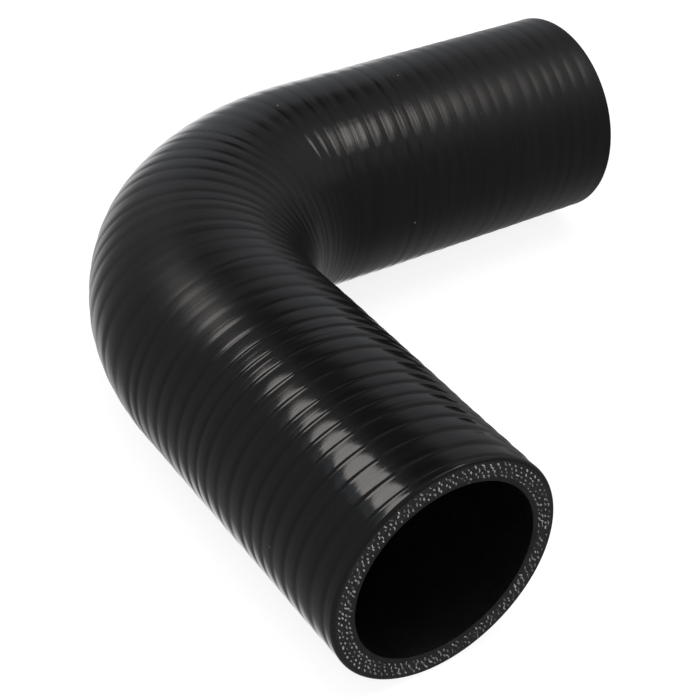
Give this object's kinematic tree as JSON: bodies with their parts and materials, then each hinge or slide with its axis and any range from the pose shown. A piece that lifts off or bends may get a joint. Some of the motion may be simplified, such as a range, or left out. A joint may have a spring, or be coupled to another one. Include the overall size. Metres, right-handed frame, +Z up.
{
  "type": "elbow hose",
  "caption": "Right-angle coupling hose of black silicone rubber with a tape-wrapped skin, a through bore and square-cut ends.",
  "frame": {"origin": "on the surface the hose lies on, under the middle of its outline as seen from above", "axes": "+Z up, square to the plane of the two legs' axes; the front leg ends facing -Y and the rear leg ends facing +X"},
  "size_m": [0.1202, 0.1202, 0.0405],
  "materials": {
    "black_silicone": "glossy tape-wrapped skin, matt cut ends"
  },
  "bodies": {
    "root": {"elbow_hose": "black_silicone"}
  },
  "joints": []
}
